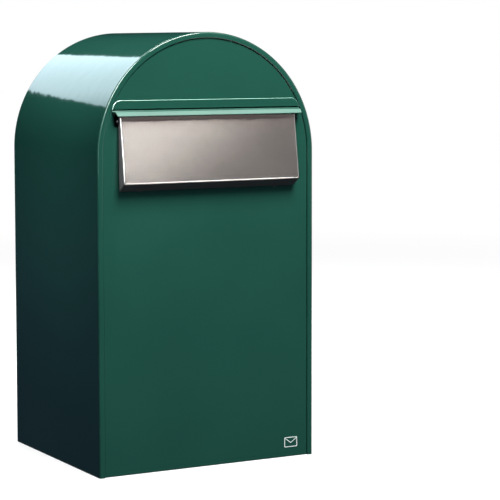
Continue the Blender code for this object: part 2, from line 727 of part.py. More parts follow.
def make_lock_case(materials, axis):
    """What stays with the door: the rosette under the lock's head, the threaded barrel and its nut."""
    outward = (0, 1, 0)
    bore = LOCK_HOLE_RADIUS + 0.0001
    seat = GAP + ROSETTE_HEIGHT
    rosette = [
        (bore, GAP),
        (ROSETTE_RADIUS, GAP),
        (ROSETTE_RADIUS, seat - 0.0016),
        (ROSETTE_RADIUS - 0.001, seat),
        (bore, seat),
    ]
    bm = turned(rosette, LOCK_AXIS, outward, closed=True)
    add_object("lock_rosette", bm, materials["chrome"], axis, smooth=True)
    head = seat + GAP
    bore = PLUG_RADIUS + GAP
    body = [
        (bore, LOCK_BACK),
        (LOCK_BARREL_RADIUS, LOCK_BACK),
        (LOCK_BARREL_RADIUS, head),
        (LOCK_HEAD_RADIUS, head),
        (LOCK_HEAD_RADIUS, LOCK_FRONT - 0.001),
        (LOCK_HEAD_RADIUS - 0.001, LOCK_FRONT),
        (bore, LOCK_FRONT),
    ]
    bm = turned(body, LOCK_AXIS, outward, closed=True)
    add_object("lock_body", bm, materials["chrome"], axis, smooth=True)
    front = -SHEET - GAP
    back = front - LOCK_NUT_HEIGHT
    bore = LOCK_BARREL_RADIUS + GAP
    hex_nut("lock_nut", LOCK_AXIS, outward, LOCK_NUT_FLATS, bore, back, front, materials["zinc"], axis)


def make_lock_cylinder(materials, axis):
    """What turns with the key: the plug, the cam on its square tang, and the cam's washer and screw."""
    outward = (0, 1, 0)
    x, y, z = LOCK_AXIS
    plug_back = LOCK_BACK - 0.0004
    plug_front = LOCK_FRONT - 0.0004
    cam_front = plug_back - 0.0005
    cam_back = cam_front - CAM_SHEET
    tang_end = cam_back - 0.0007
    washer_front = tang_end - GAP
    washer_back = washer_front - 0.0008
    head_front = washer_back - GAP
    head_back = head_front - CAM_SCREW_HEAD_HEIGHT
    hole_end = -0.012
    bore = CAM_SCREW_RADIUS + GAP

    profile = [
        (0, plug_back),
        (PLUG_RADIUS - 0.0013, plug_back),
        (PLUG_RADIUS, plug_back + 0.0014),
        (PLUG_RADIUS, plug_front),
        (0, plug_front),
    ]
    bm = turned(profile, LOCK_AXIS, outward)
    plug = add_object("lock_plug", bm, materials["chrome"], axis, smooth=True)
    t = TANG_HALF
    tang = box((x - t, y + tang_end, z - t), (x + t, y + plug_back + 0.0004, z + t))
    keyway = box((x - 0.001, y + 0.002, z - 0.0045), (x + 0.001, y + 0.012, z + 0.0035))
    thread = rod(LOCK_AXIS, outward, bore, -0.025, hole_end, 12)
    combine(plug, "UNION", add_tool("plug_tang", tang, axis))
    combine(plug, "DIFFERENCE", add_tool("keyway_cutter", keyway, axis))
    combine(plug, "DIFFERENCE", add_tool("plug_thread", thread, axis))

    half = CAM_HALF_WIDTH
    blade = [
        *arc((x, z), half + 0.001, 45, 315, 10),
        (x + CAM_REACH, z - half),
        (x + CAM_REACH, z + half),
    ]
    cam = add_object("lock_cam", prism(blade, y + cam_back, y + cam_front, "Y"), materials["zinc"], axis)
    w = t + GAP
    window = box((x - w, y + cam_back - 0.003, z - w), (x + w, y + cam_front + 0.001, z + w))
    combine(cam, "DIFFERENCE", add_tool("cam_window", window, axis))

    washer = [
        (bore, washer_back),
        (CAM_WASHER_RADIUS, washer_back),
        (CAM_WASHER_RADIUS, washer_front),
        (bore, washer_front),
    ]
    bm = turned(washer, LOCK_AXIS, outward, SMALL_ROUND_SEGMENTS, closed=True)
    add_object("cam_washer", bm, materials["zinc"], axis, smooth=True)
    screw = [
        (0, head_back),
        (CAM_SCREW_HEAD_RADIUS - 0.001, head_back),
        (CAM_SCREW_HEAD_RADIUS, head_back + 0.0009),
        (CAM_SCREW_HEAD_RADIUS, head_front),
        (CAM_SCREW_RADIUS, head_front),
        (CAM_SCREW_RADIUS, hole_end - 0.0005),
        (0, hole_end - 0.0005),
    ]
    bm = turned(screw, LOCK_AXIS, outward, SMALL_ROUND_SEGMENTS)
    add_object("cam_screw", bm, materials["zinc"], axis, smooth=True)


def main():
    clear_scene()
    materials = make_materials()
    make_shell(materials)
    make_front_panel(materials)
    make_rain_hood(materials)
    make_rear_panel(materials)
    make_doorway_rails(materials)
    make_floor(materials)
    make_guard(materials)
    make_flap_brackets(materials)
    make_bumpers(materials)
    make_hinge_brackets(materials)
    make_flap(materials, make_axis("flap_axis", FLAP_AXIS))
    door_axis = make_axis("door_axis", DOOR_AXIS)
    make_door(materials, door_axis)
    make_door_stiffener(materials, door_axis)
    make_lock_case(materials, door_axis)
    make_lock_cylinder(materials, make_axis("lock_axis", LOCK_AXIS))


main()
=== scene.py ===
"""Looks of the parcel drop box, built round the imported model.

Metres, +Z up, the letter flap on the -Y side and the door on the +Y side. The visible sheet-metal nodes are
replaced by finer sheets with true bends, and every node gets a procedural material.
"""

import json
import math

import bmesh
import bpy
from mathutils import Euler, Matrix, Vector


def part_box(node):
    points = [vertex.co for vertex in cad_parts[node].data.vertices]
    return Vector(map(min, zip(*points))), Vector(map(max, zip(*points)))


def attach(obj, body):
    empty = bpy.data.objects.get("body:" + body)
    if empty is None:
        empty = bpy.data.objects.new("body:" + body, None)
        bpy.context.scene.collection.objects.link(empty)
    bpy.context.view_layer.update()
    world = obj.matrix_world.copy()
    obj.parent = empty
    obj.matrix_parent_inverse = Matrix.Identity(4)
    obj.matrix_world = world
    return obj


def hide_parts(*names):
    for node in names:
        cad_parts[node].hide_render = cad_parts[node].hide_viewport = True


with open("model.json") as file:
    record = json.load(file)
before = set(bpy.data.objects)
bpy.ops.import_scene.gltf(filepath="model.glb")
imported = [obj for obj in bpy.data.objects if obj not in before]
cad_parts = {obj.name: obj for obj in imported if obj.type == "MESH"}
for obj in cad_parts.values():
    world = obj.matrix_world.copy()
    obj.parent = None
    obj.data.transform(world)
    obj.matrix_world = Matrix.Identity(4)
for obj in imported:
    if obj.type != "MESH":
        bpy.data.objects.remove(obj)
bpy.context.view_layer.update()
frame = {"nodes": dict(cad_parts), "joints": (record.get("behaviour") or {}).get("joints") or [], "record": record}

# Sheet metal
SHEET = 0.0012
GAP = 0.0003
ARCH_SEGMENTS = 120
BEND_SEGMENTS = 6
ROUND_SEGMENTS = 64
SHARP_ANGLE = math.radians(32)
EDGE_ROUND = 0.00025
SHELL_LOW, SHELL_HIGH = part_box("shell")
HALF_WIDTH = SHELL_HIGH.x
ARCH_CENTRE_Z = SHELL_HIGH.z - HALF_WIDTH
FRONT_Y = SHELL_LOW.y
REAR_Y = SHELL_HIGH.y
LIP_RETURN = 0.008
SHELL_BEND = 0.003
LIP_BEND = 0.0018
PANEL_BEND = 0.0014
PANEL_RETURN = 0.010
PANEL_HALF_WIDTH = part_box("front_panel")[1].x
LIP_WIDTH = HALF_WIDTH - PANEL_HALF_WIDTH - GAP
FRONT_FACE_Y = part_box("front_panel")[0].y
REAR_FACE_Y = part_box("rear_panel")[1].y

# Letter slot
SLOT_HALF_WIDTH = 0.150
SLOT_BOTTOM_Z = 0.457
SLOT_SHOULDER_Z = 0.548
SLOT_TOP_Z = 0.567
SLOT_SHOULDER_HALF_WIDTH = 0.163
SLOT_CORNER = 0.0012
STUD_RADIUS = 0.0025
STUD_PITCH = 0.0008
STUD_THREAD_DEPTH = 0.0004

# Rain hood. The plate ends at its foot, and a bent strip goes on from there to the drip lip.
HOOD_SHEET = 0.0015
HOOD_CORNER = 0.0155
HOOD_RIM = 0.0009
HOOD_FOOT_Z = 0.5745
HOOD_BEND_Z = 0.5722
HOOD_BENDS = (0.001, 0.0025)
HOOD_SHELF = (FRONT_Y - 0.007, 0.5716)
HOOD_LIP_Z = 0.5652
HOOD_LIP_INSET = 0.0035

# Flap. Each OUT is how far in front of the box that point of its side view lies.
FLAP_SHEET = 0.001
FLAP_TOP_OUT = 0.0052
FLAP_NOSE_Z = 0.460
FLAP_HEEL_OUT = 0.0018
FLAP_CHEEK_OUT = 0.0005
FLAP_EAR_RADIUS = 0.0042
FLAP_ROD_HOLE_RADIUS = 0.0023
FLAP_FOLD = 0.003
FLAP_SEAM_WIDTH = 0.0004
FLAP_SEAM_LENGTH = 0.03
FLAP_SEAM_START = 0.0035

# Door and lock
DOORWAY_SIDE_GAP = 0.0015
DOORWAY_TOP_GAP = 0.003
PIN_HOLE_RADIUS = 0.0037
LOCK_HOLE_RADIUS = 0.0097
ROSETTE_BORE_RADIUS = 0.0098
ROSETTE_RIM = 0.0015
BARREL_RADIUS = 0.0093
BARREL_THREAD_PITCH = 0.001
BARREL_THREAD_DEPTH = 0.0005
HEAD_ROUND = 0.0012
PLUG_BACK = -0.0154  # from the lock's axis point, as are the other lengths along the lock
TANG_HALF_WIDTH = 0.003
SCREW_BORE_RADIUS = 0.0018

# Printed mark
MARK_X, MARK_Z = 0.1525, 0.024
MARK_HALF_WIDTH, MARK_HALF_HEIGHT = 0.0120, 0.0082
MARK_STROKE = 0.0011
MARK_THICKNESS = 0.00012

JOINTS = {joint["name"]: joint for joint in frame["joints"]}
FLAP_AXIS = Vector(JOINTS["flap_hinge"]["pos_m"])
DOOR_AXIS = Vector(JOINTS["door_hinge"]["pos_m"])
LOCK_AXIS = Vector(JOINTS["lock_turn"]["pos_m"])


# Outlines


def rounded_path(points, radius, segments=BEND_SEGMENTS):
    """An open 2-D path with each inner corner rounded. radius is one number, or one for each inner corner."""
    points = [Vector(p) for p in points]
    radii = list(radius) if hasattr(radius, "__len__") else [radius] * (len(points) - 2)
    path = [points[0]]
    for before, corner, after, r in zip(points, points[1:], points[2:], radii):
        a, b = (before - corner).normalized(), (after - corner).normalized()
        half = a.angle(b) / 2
        if r <= 0 or abs(half - math.pi / 2) < 1e-6:
            path.append(corner)
            continue
        centre = corner + (a + b).normalized() * (r / math.sin(half))
        start = corner + a * (r / math.tan(half)) - centre
        sweep = math.pi - 2 * half
        turn = 1 if start.y * a.x > start.x * a.y else -1
        for i in range(segments + 1):
            angle = turn * sweep * i / segments
            c, s = math.cos(angle), math.sin(angle)
            path.append(centre + Vector((start.x * c - start.y * s, start.x * s + start.y * c)))
    path.append(points[-1])
    return path


def rounded_polygon(points, radius, segments=BEND_SEGMENTS):
    """A closed 2-D polygon with every corner rounded."""
    points = [Vector(p) for p in points]
    middle = (points[0] + points[-1]) / 2
    return rounded_path([middle, *points, middle], radius, segments)[1:-1]


def offset_path(path, distance):
    """The path moved sideways, to its left for a positive distance."""
    moved = []
    for i, point in enumerate(path):
        before = path[max(i - 1, 0)]
        after = path[min(i + 1, len(path) - 1)]
        a = (point - before).normalized() if i else (after - point).normalized()
        b = (after - point).normalized() if i < len(path) - 1 else a
        normal_a, normal_b = Vector((-a.y, a.x)), Vector((-b.y, b.x))
        middle = (normal_a + normal_b).normalized()
        moved.append(point + middle * (distance / middle.dot(normal_a)))
    return moved


def arc(centre, radius, start, stop, segments=16):
    """Points of an arc in a plane, angles in degrees."""
    angles = [math.radians(start + (stop - start) * i / segments) for i in range(segments + 1)]
    return [(centre[0] + radius * math.cos(a), centre[1] + radius * math.sin(a)) for a in angles]


def arch_outline(inset=0.0):
    """Closed outline in X and Z of the arched panels, from bottom left over the arch to bottom right."""
    radius = PANEL_HALF_WIDTH - inset
    return [(-radius, inset), *arc((0, ARCH_CENTRE_Z), radius, 180, 0, ARCH_SEGMENTS), (radius, inset)]


# Solids


def bridge_loops(bm, loops, close_ends):
    """Joins each loop of vertices to the next. close_ends fills the first and last, or else joins them."""
    count = len(loops[0])
    pairs = list(zip(loops, loops[1:]))
    if not close_ends:
        pairs.append((loops[-1], loops[0]))
    for one, two in pairs:
        for i in range(count):
            j = (i + 1) % count
            bm.faces.new((one[i], one[j], two[j], two[i]))
    if close_ends:
        bm.faces.new(loops[0])
        bm.faces.new(loops[-1])


def prism(outline, low, high, axis="X"):
    """A 2-D outline pushed along an axis. The outline is (Y, Z) for X, (X, Z) for Y and (X, Y) for Z."""
    lay = {
        "X": lambda u, v, w: (w, u, v),
        "Y": lambda u, v, w: (u, w, v),
        "Z": lambda u, v, w: (u, v, w),
    }[axis]
    bm = bmesh.new()
    loops = [[bm.verts.new(lay(u, v, w)) for u, v in outline] for w in (low, high)]
    bridge_loops(bm, loops, close_ends=True)
    return bm


def box(low, high):
    (x0, y0, z0), (x1, y1, z1) = low, high
    return prism([(x0, y0), (x1, y0), (x1, y1), (x0, y1)], z0, z1, "Z")


def bent_strip(path, thickness, ends):
    """Sheet folded along a path in Y and Z. ends(y, z) gives its lowest and highest X at each point."""
    bm = bmesh.new()
    rings = []
    for outer, inner in zip(path, offset_path(path, thickness)):
        low, high = ends(*outer)
        corners = ((low, outer), (high, outer), (high, inner), (low, inner))
        rings.append([bm.verts.new((x, *point)) for x, point in corners])
    bridge_loops(bm, rings, close_ends=True)
    return bm


def pan(outline, face_y, depth, inward, bend, thickness=SHEET):
    """A flat panel with its edges folded back all round. inward is +1 if its edges point to +Y, or -1."""
    steps = [math.pi / 2 * i / BEND_SEGMENTS for i in range(BEND_SEGMENTS + 1)]
    inner_bend = bend - thickness
    outer = [(bend * (1 - math.sin(a)), bend * (1 - math.cos(a))) for a in steps]
    inner = [(bend - inner_bend * math.sin(a), bend - inner_bend * math.cos(a)) for a in steps]
    section = [*outer, (0.0, depth), (thickness, depth), *reversed(inner)]
    bm = bmesh.new()
    loops = [
        [bm.verts.new((x, face_y + inward * back, z)) for x, z in outline(inset)]
        for inset, back in section
    ]
    bridge_loops(bm, loops, close_ends=True)
    return bm


def turned(profile, centre, axis, segments=ROUND_SEGMENTS, closed=False):
    """A profile of (radius, distance along the axis) turned about an axis through centre."""
    turn = Vector((0, 0, 1)).rotation_difference(Vector(axis)).to_matrix().to_4x4()
    bm = bmesh.new()
    rings = []
    for radius, along in profile:
        if radius <= 0:
            rings.append([bm.verts.new((0, 0, along))])
            continue
        angles = [2 * math.pi * i / segments for i in range(segments)]
        rings.append([bm.verts.new((radius * math.cos(a), radius * math.sin(a), along)) for a in angles])
    pairs = list(zip(rings, rings[1:]))
    if closed:
        pairs.append((rings[-1], rings[0]))
    for one, two in pairs:
        for i in range(segments):
            j = (i + 1) % segments
            corners = [one[i % len(one)], one[j % len(one)], two[j % len(two)], two[i % len(two)]]
            bm.faces.new(list(dict.fromkeys(corners)))
    bm.transform(Matrix.Translation(centre) @ turn)
    return bm


def rod(centre, axis, radius, low, high, segments=ROUND_SEGMENTS):
    return turned([(0, low), (radius, low), (radius, high), (0, high)], centre, axis, segments)


def object_of(name, bm):
    """Turns a bmesh into an object, its faces pointing out, and frees the bmesh."""
    bmesh.ops.recalc_face_normals(bm, faces=bm.faces)
    mesh = bpy.data.meshes.new(name)
    bm.to_mesh(mesh)
    bm.free()
    obj = bpy.data.objects.new(name, mesh)
    bpy.context.scene.collection.objects.link(obj)
    return obj


def cut(bm, *tools, operation="DIFFERENCE"):
    """The bmesh less each tool, or joined to each."""
    work = object_of("work", bm)
    helpers = [object_of(f"tool_{i}", tool) for i, tool in enumerate(tools)]
    for helper in helpers:
        modifier = work.modifiers.new(helper.name, "BOOLEAN")
        modifier.operation = operation
        modifier.object = helper
        modifier.solver = "EXACT"
    graph = bpy.context.evaluated_depsgraph_get()
    mesh = bpy.data.meshes.new_from_object(work.evaluated_get(graph))
    result = bmesh.new()
    result.from_mesh(mesh)
    for obj in [work, *helpers]:
        old = obj.data
        bpy.data.objects.remove(obj, do_unlink=True)
        bpy.data.meshes.remove(old)
    bpy.data.meshes.remove(mesh)
    return result


def soften_edges(obj, width):
    """A small round on every sharp edge, and normals that keep flat faces flat."""
    obj.data.shade_smooth()
    bevel = obj.modifiers.new("edge_round", "BEVEL")
    bevel.limit_method = "ANGLE"
    bevel.angle_limit = SHARP_ANGLE
    bevel.width = width
    bevel.segments = 2
    bevel.use_clamp_overlap = True
    normals = obj.modifiers.new("flat_faces", "WEIGHTED_NORMAL")
    normals.keep_sharp = False
    normals.weight = 100


def add_piece(name, bm, body, material, stands_for=(), edge=EDGE_ROUND):
    obj = object_of(name, bm)
    soften_edges(obj, edge)
    obj.data.materials.append(material)
    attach(obj, body)
    if stands_for:
        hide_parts(*stands_for)
    return obj


# Materials


def new_material(name):
    material = bpy.data.materials.new(name)
    material.use_nodes = True
    return material, material.node_tree, material.node_tree.nodes["Principled BSDF"]


def add(tree, kind, inputs=(), **settings):
    """A shader node with its settings made and its inputs set or linked."""
    node = tree.nodes.new("ShaderNode" + kind)
    for key, value in settings.items():
        setattr(node, key, value)
    for key, value in dict(inputs).items():
        if isinstance(value, bpy.types.NodeSocket):
            tree.links.new(value, node.inputs[key])
        else:
            node.inputs[key].default_value = value
    return node


def place(tree, scale=(1, 1, 1)):
    """The object's own coordinates in metres, stretched by scale."""
    source = add(tree, "TexCoord").outputs["Object"]
    return add(tree, "Mapping", {"Vector": source, "Scale": scale}).outputs["Vector"]


def noise(tree, vector, scale, detail=2.0, roughness=0.5):
    settings = {"Vector": vector, "Scale": scale, "Detail": detail, "Roughness": roughness}
    return add(tree, "TexNoise", settings).outputs["Fac"]


def remap(tree, value, low, high, to_low, to_high):
    settings = {"Value": value, "From Min": low, "From Max": high, "To Min": to_low, "To Max": to_high}
    return add(tree, "MapRange", settings).outputs["Result"]


def math_node(tree, operation, a, b=0.0):
    return add(tree, "Math", {0: a, 1: b}, operation=operation).outputs[0]


def mix_colour(tree, factor, a, b):
    node = add(tree, "Mix", {0: factor, 6: a, 7: b}, data_type="RGBA")
    return node.outputs[2]


def bump(tree, height, distance, under=None):
    """A bump of that height in metres, on top of another."""
    inputs = {"Height": height, "Distance": distance, "Strength": 1.0}
    if under:
        inputs["Normal"] = under
    return add(tree, "Bump", inputs).outputs["Normal"]


def edge_mask(tree, low, high):
    """1 on convex edges and 0 on flat faces."""
    pointiness = add(tree, "NewGeometry").outputs["Pointiness"]
    return remap(tree, pointiness, low, high, 0.0, 1.0)


def rgba(r, g, b):
    return (r, g, b, 1.0)


def paint_material(name, deep, pale, gloss, ior=1.5):
    """Glossy powder coat: colour drift, orange peel, slightly wavy sheet, thinner and paler on the edges."""
    material, tree, shader = new_material(name)
    where = place(tree)
    drift = noise(tree, where, 5.0, 3.0)
    fleck = noise(tree, where, 900.0, 1.0)
    body = mix_colour(tree, remap(tree, drift, 0.3, 0.7, 0.0, 1.0), rgba(*deep), rgba(*pale))
    flecked = mix_colour(tree, remap(tree, fleck, 0.55, 0.8, 0.0, 0.12), body, rgba(*[2.2 * c for c in pale]))
    wear = math_node(tree, "MULTIPLY", edge_mask(tree, 0.53, 0.62), remap(tree, drift, 0.4, 0.6, 0.05, 0.3))
    worn = mix_colour(tree, wear, flecked, rgba(*[2.6 * c + 0.02 for c in pale]))
    tree.links.new(worn, shader.inputs["Base Color"])
    haze = remap(tree, noise(tree, where, 22.0, 4.0, 0.6), 0.3, 0.75, gloss, gloss + 0.03)
    rough = math_node(tree, "ADD", haze, math_node(tree, "MULTIPLY", wear, 0.3))
    tree.links.new(rough, shader.inputs["Roughness"])
    wave = bump(tree, noise(tree, where, 22.0, 1.0), 0.00017)
    ripple = bump(tree, noise(tree, where, 55.0, 1.0), 0.00008, wave)
    peel = bump(tree, noise(tree, where, 380.0, 2.0), 0.000004, ripple)
    tree.links.new(peel, shader.inputs["Normal"])
    shader.inputs["IOR"].default_value = ior
    return material


def brushed_material(name, dark, light, roughness, anisotropy):
    """Stainless steel brushed along X, and along Y on its turned-in ends.

    Faces that are turned down or to a side are painted a dark grey shade, and are made rougher and less metallic.
    """
    material, tree, shader = new_material(name)
    along_x = place(tree, (6.0, 1400.0, 1400.0))
    along_y = place(tree, (1400.0, 6.0, 1400.0))
    normal = add(tree, "SeparateXYZ", {0: add(tree, "TexCoord").outputs["Normal"]}).outputs
    sideways = math_node(tree, "ABSOLUTE", normal["X"])
    on_end = math_node(tree, "GREATER_THAN", sideways, 0.7)
    down = remap(tree, normal["Z"], -0.5, -0.75, 0.0, 0.97)
    shade_mask = math_node(tree, "MAXIMUM", remap(tree, sideways, 0.8, 0.95, 0.0, 0.85), down)
    vector = add(tree, "Mix", {0: on_end, 4: along_x, 5: along_y}, data_type="VECTOR").outputs[1]
    grain = noise(tree, vector, 1.0, 3.0, 0.65)
    long_grain = noise(tree, place(tree, (1.2, 260.0, 260.0)), 1.0, 2.0)
    cloud = noise(tree, place(tree), 9.0, 2.0)
    tone = mix_colour(tree, remap(tree, grain, 0.3, 0.7, 0.0, 1.0), rgba(*dark), rgba(*light))
    toned = mix_colour(tree, remap(tree, cloud, 0.35, 0.65, 0.0, 0.12), tone, rgba(*dark))
    # Painted shade: a fixed dark grey for the faces turned down or to a side
    painted_shade_grey = mix_colour(tree, grain, rgba(0.075, 0.052, 0.058), rgba(0.105, 0.076, 0.084))
    with_painted_shade = mix_colour(tree, shade_mask, toned, painted_shade_grey)
    tree.links.new(with_painted_shade, shader.inputs["Base Color"])
    fine = remap(tree, grain, 0.3, 0.7, -0.008, 0.008)
    spread = math_node(tree, "ADD", fine, remap(tree, long_grain, 0.3, 0.7, -0.005, 0.005))
    rough = math_node(tree, "ADD", spread, remap(tree, shade_mask, 0.0, 1.0, roughness, 0.5))
    tree.links.new(rough, shader.inputs["Roughness"])
    lines = bump(tree, grain, 0.0000004)
    tree.links.new(lines, shader.inputs["Normal"])
    tree.links.new(math_node(tree, "SUBTRACT", 1.0, shade_mask), shader.inputs["Metallic"])
    shader.inputs["Anisotropic"].default_value = anisotropy
    tangent = add(tree, "Tangent", direction_type="UV_MAP", uv_map="across_brush").outputs["Tangent"]
    tree.links.new(tangent, shader.inputs["Tangent"])
    return material


def metal_material(name, dark, light, roughness, grain_scale, scratch):
    """Plated metal: a mottled tone, uneven gloss and fine scratches."""
    material, tree, shader = new_material(name)
    where = place(tree)
    mottle = add(tree, "TexVoronoi", {"Vector": where, "Scale": grain_scale, "Randomness": 1.0}, feature="F1")
    cloud = noise(tree, where, grain_scale * 0.3, 3.0)
    patch = math_node(tree, "MULTIPLY", mottle.outputs["Distance"], cloud)
    tone = mix_colour(tree, remap(tree, patch, 0.05, 0.45, 0.0, 1.0), rgba(*light), rgba(*dark))
    tree.links.new(tone, shader.inputs["Base Color"])
    gloss = remap(tree, cloud, 0.3, 0.7, roughness * 0.8, roughness * 1.25)
    rub = math_node(tree, "MULTIPLY", edge_mask(tree, 0.52, 0.6), -0.3 * roughness)
    tree.links.new(math_node(tree, "ADD", gloss, rub), shader.inputs["Roughness"])
    lines = noise(tree, place(tree, (60.0, 900.0, 2600.0)), 1.0, 2.0)
    tree.links.new(bump(tree, lines, scratch), shader.inputs["Normal"])
    shader.inputs["Metallic"].default_value = 1.0
    return material


def soft_material(name, dark, light, roughness, grain_scale, grain_height):
    """Rubber or moulded plastic: slight bloom, and a fine grain."""
    material, tree, shader = new_material(name)
    where = place(tree)
    bloom = noise(tree, where, 140.0, 4.0, 0.6)
    tone = mix_colour(tree, remap(tree, bloom, 0.35, 0.7, 0.0, 1.0), rgba(*dark), rgba(*light))
    wear = math_node(tree, "MULTIPLY", edge_mask(tree, 0.52, 0.62), 0.4)
    worn = mix_colour(tree, wear, tone, rgba(*[1.8 * c for c in light]))
    tree.links.new(worn, shader.inputs["Base Color"])
    rough = remap(tree, bloom, 0.3, 0.7, roughness - 0.06, roughness + 0.08)
    tree.links.new(rough, shader.inputs["Roughness"])
    grain = bump(tree, noise(tree, where, grain_scale, 2.0), grain_height)
    tree.links.new(grain, shader.inputs["Normal"])
    return material


def make_materials():
    """Every material by its short name. Each pair of colours is a dark and a light one, in linear RGB."""
    green = (0.0090, 0.0505, 0.0355), (0.0102, 0.0570, 0.0400)
    # Paler green for the rim of the hood: a painted highlight
    rim_highlight_green = (0.10, 0.27, 0.21), (0.13, 0.33, 0.26)
    steel = (0.56, 0.53, 0.515), (0.64, 0.61, 0.59)
    zinc = (0.42, 0.44, 0.47), (0.66, 0.67, 0.66)
    oxide = (0.010, 0.010, 0.012), (0.028, 0.028, 0.030)
    chrome = (0.62, 0.63, 0.65), (0.82, 0.82, 0.83)
    worn_nickel = (0.20, 0.20, 0.21), (0.34, 0.34, 0.35)
    rubber = (0.012, 0.012, 0.012), (0.03, 0.03, 0.03)
    nylon = (0.02, 0.02, 0.022), (0.04, 0.04, 0.043)
    ink = (0.62, 0.68, 0.66), (0.78, 0.82, 0.80)
    return {
        "green_paint": paint_material("green_powder_coat", *green, 0.05),
        "rim_highlight_paint": paint_material("rim_highlight_powder_coat", *rim_highlight_green, 0.1, ior=2.6),
        "stainless": brushed_material("brushed_stainless", *steel, 0.20, 1.0),
        "zinc": metal_material("zinc_plate", *zinc, 0.34, 260.0, 0.000004),
        "black_oxide": metal_material("black_oxide", *oxide, 0.42, 300.0, 0.000003),
        "chrome": metal_material("bright_chrome", *chrome, 0.10, 90.0, 0.000001),
        "keyway": metal_material("worn_nickel_plug", *worn_nickel, 0.3, 300.0, 0.000004),
        "rubber": soft_material("black_rubber", *rubber, 0.7, 700.0, 0.00003),
        "nylon": soft_material("black_nylon", *nylon, 0.42, 1500.0, 0.00001),
        "white_ink": soft_material("white_print", *ink, 0.4, 900.0, 0.000008),
    }


# Housing


def make_shell(materials):
    """The wrapper round both sides and the arch, with its front and rear edges folded in twice."""
    corners = [
        (LIP_WIDTH, FRONT_Y + LIP_RETURN),
        (LIP_WIDTH, FRONT_Y),
        (0.0, FRONT_Y),
        (0.0, REAR_Y),
        (LIP_WIDTH, REAR_Y),
        (LIP_WIDTH, REAR_Y - LIP_RETURN),
    ]
    outer = rounded_path(corners, (LIP_BEND, SHELL_BEND, SHELL_BEND, LIP_BEND), 8)
    section = [*outer, *reversed(offset_path(outer, -SHEET))]
    bm = bmesh.new()
    loops = []
    stations = [(-1.0, None), *arc((0, 0), 1.0, 180, 0, ARCH_SEGMENTS), (1.0, None)]
    for across, up in stations:
        loop = []
        for inset, y in section:
            radius = HALF_WIDTH - inset
            z = 0.0 if up is None else ARCH_CENTRE_Z + radius * up
            loop.append(bm.verts.new((radius * across, y, z)))
        loops.append(loop)
    bridge_loops(bm, loops, close_ends=True)
    add_piece("shell_sheet", bm, "cabinet", materials["green_paint"], ["shell"])


def slot_outline():
    half, wide = SLOT_HALF_WIDTH, SLOT_SHOULDER_HALF_WIDTH
    corners = [
        (-half, SLOT_BOTTOM_Z),
        (half, SLOT_BOTTOM_Z),
        (half, SLOT_SHOULDER_Z),
        (wide, SLOT_SHOULDER_Z),
        (wide, SLOT_TOP_Z),
        (-wide, SLOT_TOP_Z),
        (-wide, SLOT_SHOULDER_Z),
        (-half, SLOT_SHOULDER_Z),
    ]
    return rounded_polygon(corners, SLOT_CORNER)


def make_front_panel(materials):
    """The front panel with its letter slot, and four threaded studs welded to its back."""
    slot = prism(slot_outline(), FRONT_Y - 0.01, FRONT_Y + 0.03, "Y")
    bm = cut(pan(arch_outline, FRONT_FACE_Y, PANEL_RETURN, 1, PANEL_BEND), slot)
    add_piece("front_sheet", bm, "cabinet", materials["green_paint"], ["front_panel"])
    make_guard_studs(materials)


def make_guard_studs(materials):
    """A threaded stud through each of the four nuts, from the panel's back."""
    root = FRONT_FACE_Y + SHEET - GAP
    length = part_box("front_panel")[1].y - root
    thread = STUD_RADIUS - STUD_THREAD_DEPTH
    profile = [(0, 0), (STUD_RADIUS, 0)]
    for i in range(int((length - 0.001) / STUD_PITCH)):
        profile += [(STUD_RADIUS, STUD_PITCH * (i + 0.25)), (thread, STUD_PITCH * (i + 0.75))]
    profile += [(thread - 0.0002, length), (0, length)]
    for number in range(1, 5):
        low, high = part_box(f"guard_nut_{number}")
        middle = (low + high) / 2
        stud = turned(profile, Vector((middle.x, root, middle.z)), (0, 1, 0), 24)
        add_piece(f"guard_stud_{number}", stud, "cabinet", materials["zinc"], edge=0.00008)


def hood_outline(inset):
    """The hood's plate in X and Z, from its left foot over its two round corners to its right foot."""
    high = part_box("rain_hood")[1]
    x, z, radius = high.x - HOOD_CORNER, high.z - HOOD_CORNER, HOOD_CORNER - inset
    left, right = arc((-x, z), radius, 180, 90, 14), arc((x, z), radius, 90, 0, 14)
    return [(inset - high.x, HOOD_FOOT_Z), *left, *right, (high.x - inset, HOOD_FOOT_Z)]


def make_rain_hood(materials):
    """A plate with round upper corners, bent out at its foot into a shelf and a drip lip."""
    low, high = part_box("rain_hood")
    plate_y = high.y - HOOD_SHEET
    angles = [math.pi / 12 * i for i in range(7)]
    rounding = [(HOOD_RIM * (1 - math.cos(a)), HOOD_RIM * (1 - math.sin(a))) for a in angles]
    plate = bmesh.new()
    loops = [
        [plate.verts.new((x, plate_y + back, z)) for x, z in hood_outline(inset)]
        for inset, back in [(0.0, HOOD_SHEET), *rounding]
    ]
    bridge_loops(plate, loops, close_ends=True)

    def ends(y, z):
        """The strip narrows evenly from the plate to the tip of its lip."""
        half = high.x - max(HOOD_LIP_INSET * (plate_y - y) / (plate_y - low.y), 0.0)
        return -half, half

    corners = [(plate_y, HOOD_FOOT_Z + 0.001), (plate_y, HOOD_BEND_Z), HOOD_SHELF, (low.y, HOOD_LIP_Z)]
    strip = bent_strip(rounded_path(corners, HOOD_BENDS, 8), HOOD_SHEET, ends)
    bm = cut(plate, strip, operation="UNION")
    paint = materials["green_paint"]
    hood = add_piece("hood_sheet", bm, "cabinet", paint, ["rain_hood"], 0.0002)
    # The rim of the hood's plate gets the paler paint, a painted highlight, with a higher IOR for stronger real
    # highlights
    hood.data.materials.append(materials["rim_highlight_paint"])
    for polygon in hood.data.polygons:
        on_rim = polygon.center.z > HOOD_FOOT_Z and polygon.center.y < plate_y + HOOD_RIM
        polygon.material_index = int(on_rim and abs(polygon.normal.y) < 0.98)


